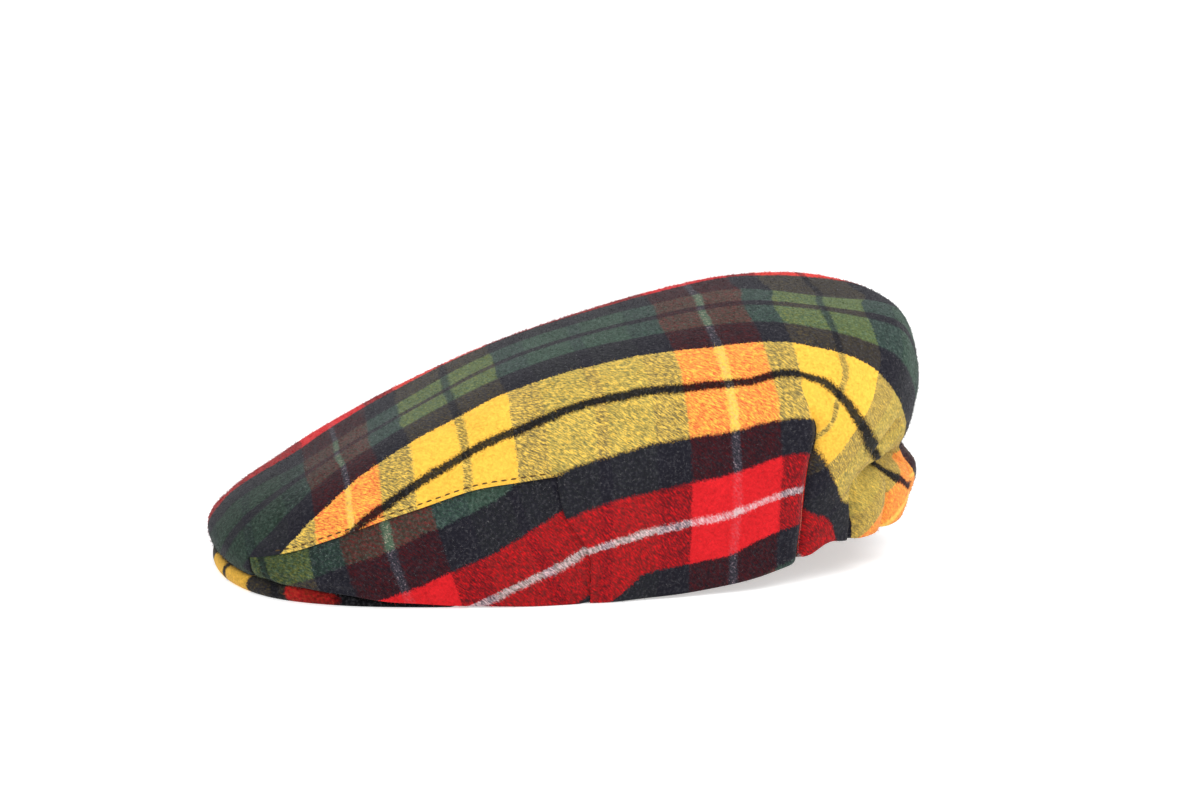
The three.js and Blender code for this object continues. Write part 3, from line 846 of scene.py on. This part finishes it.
# %% [markdown]
# ## Shader maths
#
# A shader is a graph of nodes. Writing it as Python expressions keeps it short: the class below wraps an
# output socket, and adding or multiplying two of them adds a Math node to the graph.

# %% A socket that can be calculated with
class Strand:
    """An output socket of a material's node tree; sums, products and quotients of it add Math nodes."""

    def __init__(self, tree, socket=None):
        self.tree = tree
        self.socket = socket

    def node(self, kind, settings=None, inputs=None, output=0):
        """Adds a node of a kind: its settings are set first, then its sockets get values or links."""
        made = self.tree.nodes.new(kind)
        for name, value in (settings or {}).items():
            if name == "stops":
                self.set_stops(made.color_ramp, value)
            else:
                setattr(made, name, value)
        for key, value in (inputs or {}).items():
            if isinstance(value, Strand):
                self.tree.links.new(value.socket, made.inputs[key])
            else:
                made.inputs[key].default_value = value
        return Strand(self.tree, made.outputs[output]) if len(made.outputs) else made

    @staticmethod
    def set_stops(ramp, stops):
        """Fills a colour ramp from (place, colour) pairs in rising order."""
        while len(ramp.elements) < len(stops):
            ramp.elements.new(0.5)
        for element, (place, colour) in zip(ramp.elements, stops):
            element.position = place
            element.color = (*colour, 1)

    def math(self, operation, other=0.0):
        """A Math node on this value and another one."""
        return self.node("ShaderNodeMath", {"operation": operation}, {0: self, 1: other})

    def math_after(self, operation, other):
        """A Math node on another value and then this one."""
        return self.node("ShaderNodeMath", {"operation": operation}, {0: other, 1: self})

    __add__, __radd__ = partialmethod(math, "ADD"), partialmethod(math_after, "ADD")
    __sub__, __rsub__ = partialmethod(math, "SUBTRACT"), partialmethod(math_after, "SUBTRACT")
    __mul__, __rmul__ = partialmethod(math, "MULTIPLY"), partialmethod(math_after, "MULTIPLY")
    __truediv__ = partialmethod(math, "DIVIDE")

    def clamp(self):
        """This value held between 0 and 1."""
        return self.node("ShaderNodeClamp", None, {0: self})

    def parts(self, kind):
        """The three parts of a place, for kind XYZ, or of a colour, for kind Color."""
        split = self.node("ShaderNodeSeparate" + kind, None, {0: self}).socket.node
        return [Strand(self.tree, split.outputs[number]) for number in range(3)]

    def vector(self, operation, other, key=1):
        """A Vector Math node on this colour and another, or on a number for the key Scale."""
        return self.node("ShaderNodeVectorMath", {"operation": operation}, {0: self, key: other})

    def mix(self, first, second):
        """The colour first where this is 0 and second where it is 1."""
        settings = {"data_type": "RGBA"}
        return self.node("ShaderNodeMix", settings, {0: self, 6: first, 7: second}, output=2)

    def noise(self, scale, detail=2.0, roughness=0.6):
        """Noise over this place, moved down so that its middle is 0."""
        inputs = {"Vector": self, "Scale": scale, "Detail": detail, "Roughness": roughness}
        return self.node("ShaderNodeTexNoise", None, inputs) - 0.5


def new_material(name):
    """A material with an empty node tree, and a strand to start it from."""
    material = bpy.data.materials.new(name)
    material.use_nodes = True
    material.node_tree.nodes.clear()
    return material, Strand(material.node_tree)


def give_shader(start, inputs):
    """Ends a node tree with a Principled shader that has the given inputs."""
    shader = start.node("ShaderNodeBsdfPrincipled", None, inputs)
    start.node("ShaderNodeOutputMaterial", None, {"Surface": shader})


# %% [markdown]
# ## The tartan
#
# A tartan has the same stripes across and along the cloth. Each place shows a warp thread or a weft thread on
# top, and in this twill they change places along fine diagonal lines, so a crossing of two colours looks like
# a mixture of both. The warp shows more than the weft. Brushing has drawn fibres over the threads, which
# blurs the edges of the stripes and gives the cloth its soft, dull face.

# %% Stripes of the tartan
YELLOW, RED = (0.93, 0.52, 0.065), (0.62, 0.0155, 0.0205)
GREEN, DULL_GREEN = (0.024, 0.048, 0.035), (0.028, 0.036, 0.028)
NAVY, BLACK, WHITE = (0.0135, 0.013, 0.0195), (0.012, 0.010, 0.008), (0.68, 0.48, 0.49)
# colour of the warp and of the weft, width over the warp and width along the weft of each stripe, from the
# front edge of the yellow
STRIPES = [
    (YELLOW, YELLOW, 17.2, 17.75), (BLACK, BLACK, 3.6, 3.5), (YELLOW, YELLOW, 17.2, 17.75),
    (NAVY, NAVY, 16, 13),
    (RED, RED, 14.1, 16), (WHITE, WHITE, 2.8, 3), (RED, RED, 14.1, 16),
    (NAVY, NAVY, 16, 13),
    (GREEN, DULL_GREEN, 17.1, 17.5), (NAVY, NAVY, 5.8, 5), (GREEN, DULL_GREEN, 17.1, 17.5),
    (NAVY, NAVY, 16, 13),
]
WARP_COLOURS, WEFT_COLOURS, WARP_WIDTHS, WEFT_WIDTHS = zip(*STRIPES)
WARP_START, WEFT_START = 52, -69.5
EDGE_BLUR = 0.5


def stripe_stops(colours, widths):
    """Colour-ramp stops of one repeat: every stripe starts and ends half a blur inside its edges."""
    repeat = sum(widths)
    ends = np.cumsum(widths)
    stops = []
    for colour, end, width in zip(colours, ends, widths):
        stops.append(((end - width + EDGE_BLUR / 2) / repeat, colour))
        stops.append(((end - EDGE_BLUR / 2) / repeat, colour))
    return stops, repeat


def stripe_colour(place, colours, widths, start):
    """The colour of the stripe at a place on the cloth, in metres: a ramp over the part of a repeat."""
    stops, repeat = stripe_stops(colours, widths)
    repeats = (place - start * MM) / (repeat * MM)
    return place.node("ShaderNodeValToRGB", {"stops": stops}, {0: repeats.math("FRACT")})


print("repeat %.1f mm across and %.1f mm along" % (sum(WARP_WIDTHS), sum(WEFT_WIDTHS)))

# %% [markdown]
# ## Fuzz and streaks
#
# Threads wander and their fibres stick out, so no edge of a stripe is sharp. A picture of cloth could show
# that, but noise has no seams and needs no file. It moves the place that is looked up in the stripes to and
# fro, and another noise, drawn out along diagonals, gives the streaks of the twill.

# %% Fuzz and streaks
# the twill's pitch, the length of its streaks and the diagonal of a unit square
TWILL_PITCH, STREAK_LENGTH, DIAGONAL = 0.42, 2.2, 1.41
# two places from front to back, and how strong the streaks are there
STREAK_STRENGTH = (85, 102, 1, 0.45)
# scale and detail of the noise in the fuzz of the warp and of the weft, and in the wander of the threads
WARP_FUZZ, WARP_TUFTS, WEFT_FUZZ, WANDER = (1500, 2), (450, 2), (1700, 2.5), (40, 2)
# how far each of them moves the edge of a stripe
FUZZ_REACH, TUFT_REACH, WANDER_REACH = 3.2 * MM, 1.2 * MM, 3 * MM


def fade(body, values):
    """A value that goes evenly from one to another over y: two places in millimetres, then the values."""
    front, rear, at_front, at_rear = values
    y = body.parts("XYZ")[1]
    inputs = {0: y, 1: front * MM, 2: rear * MM, 3: at_front, 4: at_rear}
    return body.node("ShaderNodeMapRange", None, inputs)


def twill_streaks(body):
    """Noise drawn out along the twill's diagonals: fine across them, long down them and into the body."""
    x, y, z = body.parts("XYZ")
    across = (x - z - y) / (TWILL_PITCH * MM * DIAGONAL)
    down = (x - z + y) / (STREAK_LENGTH * MM * DIAGONAL)
    deep = (x + z) / (STREAK_LENGTH * MM)
    slope = body.node("ShaderNodeCombineXYZ", None, {0: across, 1: down, 2: deep})
    return slope.noise(1.0, roughness=0.5) * fade(body, STREAK_STRENGTH)


def fuzzy_stripes(start, body):
    """Colours of the warp and the weft, at places on the cloth that noise moves to and fro."""
    warp_place, weft_place, _ = start.node("ShaderNodeUVMap", {"uv_map": "cloth"}).parts("XYZ")
    wander = body.noise(*WANDER) * WANDER_REACH
    fuzz = body.noise(*WARP_FUZZ) * FUZZ_REACH + body.noise(*WARP_TUFTS) * TUFT_REACH + wander
    weft_fuzz = body.noise(*WEFT_FUZZ) * FUZZ_REACH + wander
    warp = stripe_colour(warp_place + fuzz, WARP_COLOURS, WARP_WIDTHS, WARP_START)
    weft = stripe_colour(weft_place + weft_fuzz, WEFT_COLOURS, WEFT_WIDTHS, WEFT_START)
    return warp, weft


# %% [markdown]
# ## Mixing the threads
#
# Where two colours cross, the eye sees both at once. Their average would be too pale, because dyed fibres
# work like filters that lie over each other. So the two colours are multiplied, each to the power of its
# share.

# %% Mixture of warp and weft
# the warp's share of the mixture, and what a bright warp, the streaks and the flecks add to it
WARP_SHARE, BRIGHT_WARP, STREAK_SHARE, FLECK_SHARE = 0.77, 0.13, 1.2, 0.4
# what the nap and the flecks add to it where a white weft line crosses a dark warp
WHITE_NAP, WHITE_FLECKS = 2.6, 1
# a colour counts as dark where this times its red is below 1, and as red where red is above this times green
DARK_BELOW, RED_ABOVE = 3, 2
PLAIN_TINT, KHAKI_TINT = (1, 1, 1, 1), (0.88, 1.02, 1.42, 1)
MAROON_TINT, OLIVE_TINT = (0.96, 0.68, 0.66, 1), (1.14, 1.07, 0.86, 1)
# value of a mask at which its tint is full
KHAKI_FULL, MAROON_FULL, OLIVE_FULL, GREEN_FULL = 0.45, 0.55, 0.52, 0.024


def mixture(warp, weft, streaks, flecks, nap):
    """Warp and weft colours, each to the power of its share and multiplied, as light passes dyed fibres.

    Streaks and flecks change the shares, and the nap breaks up a white weft line on a dark warp. Three tints
    correct the product: khaki for yellow over dark, maroon for red and dark, and olive for green over yellow.
    The second value is a mask of the green warp.
    """
    red, green, blue = warp.parts("Color")
    weft_red, weft_green, weft_blue = weft.parts("Color")
    dark, weft_dark = ((1 - DARK_BELOW * value).clamp() for value in (red, weft_red))
    broken = (weft_blue / WHITE[2]).clamp() * dark * (nap * WHITE_NAP + flecks * WHITE_FLECKS)
    share = WARP_SHARE + BRIGHT_WARP * green + streaks * STREAK_SHARE + flecks * FLECK_SHARE + broken
    share = share.clamp()
    over = warp.node("ShaderNodeGamma", None, {"Color": warp, "Gamma": share})
    under = weft.node("ShaderNodeGamma", None, {"Color": weft, "Gamma": 1 - share})
    yellow_on_dark = (green - blue) * (1 - weft_red)
    red_on_dark = (red - RED_ABOVE * green).clamp() * weft_dark
    dark_on_red = dark * (weft_red - RED_ABOVE * weft_green).clamp()
    green_warp = ((green - red) / GREEN_FULL).clamp()
    shown = over.vector("MULTIPLY", under)
    for mask, tint in (
        (yellow_on_dark / KHAKI_FULL, KHAKI_TINT),
        ((red_on_dark + dark_on_red) / MAROON_FULL, MAROON_TINT),
        (green_warp * weft_green / OLIVE_FULL, OLIVE_TINT),
    ):
        shown = shown.vector("MULTIPLY", mask.mix(PLAIN_TINT, tint))
    return shown, green_warp


# %% [markdown]
# ## Wool and thread
#
# Brushed wool is rough and hardly shines, and its pale loose fibres lie like a haze over the dark stripes.
# The nap that raises them also makes the cloth lighter and darker in small spots. The thread of the topstitch
# is smoother and brown.

# %% Wool material
# scale and detail of the noise in fine flecks, in the nap and in wide patches
FLECKS, NAP, PATCHES = (2300, 2), (900, 3), (60, 2)
# two places from front to back, and how light the cloth is there; on the peak this is painted shade, darker
# towards the back under the crown's lip
WOOL_LIGHT, PEAK_PAINTED_SHADE = (-1, 1, 0.95, 0.95), (-121, -104, 0.66, 0.22)
# the same for the green warp alone: painted light, darker at the lip and lighter on the top, where light and
# sheen fall on it more
GREEN_PAINTED_LIGHT = (-112, -78, 0.83, 1.45)
# how much each kind of noise changes the lightness
NAP_LIGHT, STREAK_LIGHT, PATCH_LIGHT, GREEN_NAP = 0.8, 0.3, 0.25, 1.6
# colour of the pale fibres, how many lie everywhere, how nap and flecks add to them, and how red hides them
PALE_FIBRES, PALE_LEAST, PALE_NAP, PALE_FLECKS, PALE_RED = (0.011, 0.0108, 0.0108), 0.05, 10, 4, 25
# two places from front to back, and how many pale fibres show there
PALE_STRENGTH = (-128, -100, 0.3, 1)
NAP_HEIGHT, WOOL_BUMP, WOOL_RELIEF = 1.5, 0.5, 0.5 * MM
WOOL_ROUGHNESS, NAP_ROUGHNESS, WOOL_SPECULAR, WOOL_SHEEN, SHEEN_ROUGHNESS = 0.93, 0.14, 0.05, 0.1, 0.4


def tartan_wool(name, paleness, light=WOOL_LIGHT):
    """The mixture of warp and weft, times a lightness that varies with the noise, plus a haze of pale fibres.

    The haze shows only where the mixture is hardly redder than it is green, which is on the dark stripes. The
    lightness over y is painted shade on the peak, and for the green warp it is painted light on the top.
    """
    material, start = new_material(name)
    body = start.node("ShaderNodeTexCoord", output=3)
    streaks = twill_streaks(body)
    flecks, nap, patches = (body.noise(*numbers) for numbers in (FLECKS, NAP, PATCHES))
    shown, green_warp = mixture(*fuzzy_stripes(start, body), streaks, flecks, nap)
    # painted light on the green warp, lighter on the top than at the lip, with mottle from its nap
    green_painted_light_and_nap = 1 + green_warp * (fade(body, GREEN_PAINTED_LIGHT) - 1 + nap * GREEN_NAP)
    # the lightness over y is painted shade on the peak, darker towards the back under the crown's lip
    shade = fade(body, light) + nap * NAP_LIGHT + streaks * STREAK_LIGHT + patches * PATCH_LIGHT
    lit = shown.vector("SCALE", shade * green_painted_light_and_nap, "Scale")
    red, green, _ = shown.parts("Color")
    on_dark = (1 - PALE_RED * (red - green)).clamp()
    raised = nap * PALE_NAP + flecks * PALE_FLECKS
    pale = (raised.math("MAXIMUM") + PALE_LEAST) * on_dark * fade(body, PALE_STRENGTH)
    scale = {0: PALE_FIBRES, "Scale": pale * paleness}
    haze = start.node("ShaderNodeVectorMath", {"operation": "SCALE"}, scale)
    relief = {"Strength": WOOL_BUMP, "Distance": WOOL_RELIEF, "Height": streaks + nap * NAP_HEIGHT}
    give_shader(start, {
        "Base Color": lit.vector("ADD", haze), "Roughness": WOOL_ROUGHNESS + nap * NAP_ROUGHNESS,
        "Normal": start.node("ShaderNodeBump", None, relief), "Specular IOR Level": WOOL_SPECULAR,
        "Sheen Weight": WOOL_SHEEN, "Sheen Roughness": SHEEN_ROUGHNESS,
    })
    print(name, len(material.node_tree.nodes), "nodes")
    return material


# %% Thread material
THREAD_BROWN, THREAD_PALE, THREAD_FINENESS = (0.05, 0.026, 0.009, 1), (0.12, 0.065, 0.02, 1), 2500
THREAD_BUMP, THREAD_RELIEF, THREAD_ROUGHNESS, THREAD_SPECULAR = 0.4, 0.1 * MM, 0.7, 0.2


def thread_cotton(name):
    """Brown thread, paler and darker in turn along fine noise."""
    material, start = new_material(name)
    body = start.node("ShaderNodeTexCoord", output=3)
    strands = body.noise(THREAD_FINENESS, roughness=0.5) + 0.5
    relief = {"Strength": THREAD_BUMP, "Distance": THREAD_RELIEF, "Height": strands}
    give_shader(start, {
        "Base Color": strands.mix(THREAD_BROWN, THREAD_PALE), "Roughness": THREAD_ROUGHNESS,
        "Normal": start.node("ShaderNodeBump", None, relief), "Specular IOR Level": THREAD_SPECULAR,
    })
    return material


# %% Materials on the pieces
for material, pieces in (
    (tartan_wool("tartan_wool", paleness=1), [crown, *panels.values()]),
    (tartan_wool("loose_wool", paleness=9), [crown_fibres, *panel_fibres.values()]),
    # the peak's copy of the wool carries painted shade from the crown's lip above it
    (tartan_wool("peak_wool_painted_shade", paleness=1, light=PEAK_PAINTED_SHADE), [peak]),
    (thread_cotton("thread_cotton"), stitches),
):
    for piece in pieces:
        piece.data.materials.append(material)

# %% [markdown]
# ## Joining the frame
#
# Every piece rides on the imported body and stands for its solid, which is hidden, and the size of the flat
# cloth that the crown and each side panel are cut from is printed.

# %% Ride and replace
crown_pieces = [crown_fibres, *stitches]
for piece in [crown, *crown_pieces]:
    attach(piece, "root")
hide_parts("crown")
for node, panel in panels.items():
    for piece in [panel, panel_fibres[node]]:
        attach(piece, "root")
    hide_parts(node)
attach(peak, "root")
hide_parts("peak")


def cut_size(piece):
    """Width and length in metres of the rectangle that a piece covers on the flat cloth."""
    return np.ptp(mesh_values(piece.data.uv_layers["cloth"].data, "uv", 2), axis=0)


# width and length of the cloth that each piece is cut from, without seam allowances
print("crown on the flat cloth", cut_size(crown))
for node, panel in panels.items():
    print(panel.name, "on the flat cloth", cut_size(panel))

# %% [markdown]
# ## Floor, light and camera
#
# The cap lies on a plain white floor in a bright studio. The camera stands to the wearer's left, a little in
# front and above, more than a metre away with a long lens, so near parts look hardly larger than far ones.

# %% Stage
FLOOR_HALF, PAPER_GREY, PAPER_ROUGHNESS, PAPER_GLOW = 6.0, (0.75, 0.75, 0.75, 1), 0.9, 0.5
WHITE_LIGHT, WORLD_STRENGTH = (1, 1, 1, 1), 1.0
floor_mesh = bpy.data.meshes.new("floor")
corners = FLOOR_HALF * np.array([(-1, -1, 0), (1, -1, 0), (1, 1, 0), (-1, 1, 0)])
floor_mesh.from_pydata(corners.tolist(), [], [(0, 1, 2, 3)])
floor = bpy.data.objects.new("floor", floor_mesh)
bpy.context.collection.objects.link(floor)
paper, start = new_material("white_paper")
give_shader(start, {
    "Base Color": PAPER_GREY, "Roughness": PAPER_ROUGHNESS,
    "Emission Color": WHITE_LIGHT, "Emission Strength": PAPER_GLOW,
})
floor_mesh.materials.append(paper)

# %% Light
# name, place and power of each light
LIGHTS = [("key", (0.3, 0.9, 1.3), 10), ("fill", (0.8, -0.6, 1.1), 5)]
LIGHT_SIZE, LIGHT_TARGET = 0.9, (0, 0, 0.05)
world = bpy.data.worlds.new("studio")
bpy.context.scene.world = world
world.use_nodes = True
world.node_tree.nodes["Background"].inputs["Color"].default_value = WHITE_LIGHT
world.node_tree.nodes["Background"].inputs["Strength"].default_value = WORLD_STRENGTH
bpy.context.scene.view_settings.view_transform = "Standard"


def set_up(name, data, place, way):
    """A light or a camera at a place, turned to look along a direction with its top up."""
    thing = bpy.data.objects.new(name, data)
    thing.location = place
    thing.rotation_euler = Vector(way).to_track_quat("-Z", "Y").to_euler()
    bpy.context.collection.objects.link(thing)
    return thing


for name, place, power in LIGHTS:
    lamp = bpy.data.lights.new(name, "AREA")
    lamp.size = LIGHT_SIZE
    lamp.energy = power
    set_up(name, lamp, place, np.subtract(LIGHT_TARGET, place))

# %% Camera
CAMERA_YAW, CAMERA_RISE, CAMERA_DISTANCE = 11.0, 12.5, 1.3
CAMERA_TARGET = (0, 0.014, 0.058)
PIXELS_PER_METRE, IMAGE_WIDTH, SENSOR = 2620, 1200, 36
yaw, rise = np.radians([CAMERA_YAW, CAMERA_RISE])
back = np.array([np.cos(rise) * np.cos(yaw), -np.cos(rise) * np.sin(yaw), np.sin(rise)])
lens = bpy.data.cameras.new("camera")
lens.sensor_width = SENSOR
lens.lens = PIXELS_PER_METRE * CAMERA_DISTANCE / IMAGE_WIDTH * SENSOR
bpy.context.scene.camera = set_up("camera", lens, np.add(CAMERA_TARGET, CAMERA_DISTANCE * back), -back)
print("lens %.1f mm" % lens.lens)
